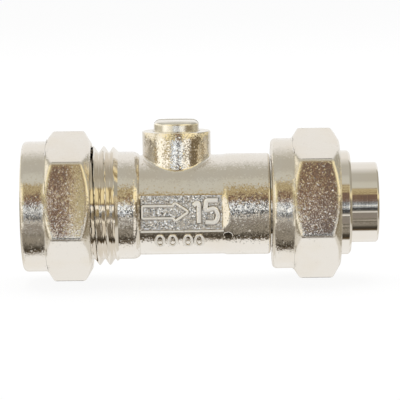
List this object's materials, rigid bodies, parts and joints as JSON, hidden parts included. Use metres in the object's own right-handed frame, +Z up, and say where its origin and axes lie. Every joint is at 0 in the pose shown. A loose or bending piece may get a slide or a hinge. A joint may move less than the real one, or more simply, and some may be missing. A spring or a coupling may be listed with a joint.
{
  "type": "isolating valve",
  "caption": "Straight plated brass isolating valve for small water pipe: compression nut at the inlet, slotted stem on a ball, captive swivel nut on a turned tail at the outlet.",
  "frame": {"origin": "on the waterway axis, at the stop in the inlet socket where the pipe's end rests", "axes": "+X along the flow from the inlet to the outlet, +Z up through the stem, +Y away from the marking panel"},
  "size_m": [0.062, 0.025, 0.028],
  "materials": {
    "plated_body": "nickel plated over a blasted forging",
    "plated_nut": "nickel plated over a blasted forging",
    "plated_turned": "nickel plated over smooth turning",
    "bare_brass": "bare turned brass",
    "polished_ball": "polished plated brass",
    "seat_white": "smooth white fluoropolymer",
    "seal_black": "smooth black rubber"
  },
  "bodies": {
    "valve": {"valve_body": "plated_body", "outlet_tail": "plated_turned", "inlet_seat": "seat_white", "outlet_seat": "seat_white"},
    "ball_and_stem": {"ball": "polished_ball", "stem": "plated_turned", "stem_thrust_washer": "seat_white", "stem_o_ring_lower": "seal_black", "stem_o_ring_upper": "seal_black"},
    "olive_ring": {"olive": "bare_brass"},
    "inlet_nut": {"compression_nut": "plated_nut"},
    "outlet_nut": {"swivel_nut": "plated_nut"}
  },
  "joints": [
    {"name": "stem_turn", "type": "hinge", "parent": "valve", "child": "ball_and_stem", "pos_m": [0.009, 0, 0], "axis": [0, 0, 1], "continuous": true},
    {"name": "compression_nut_turn", "type": "hinge", "parent": "olive_ring", "child": "inlet_nut", "pos_m": [0, 0, 0], "axis": [-1, 0, 0], "range_deg": [0, 1080]},
    {"name": "compression_nut_travel", "type": "slide", "parent": "valve", "child": "olive_ring", "axis": [-1, 0, 0], "range_m": [0, 0.0055]},
    {"name": "swivel_nut_spin", "type": "hinge", "parent": "valve", "child": "outlet_nut", "pos_m": [0.03, 0, 0], "axis": [1, 0, 0], "continuous": true}
  ],
  "couplings": [
    {"joint": "compression_nut_travel", "follows": "compression_nut_turn", "m_per_rad": 0.00028871}
  ]
}
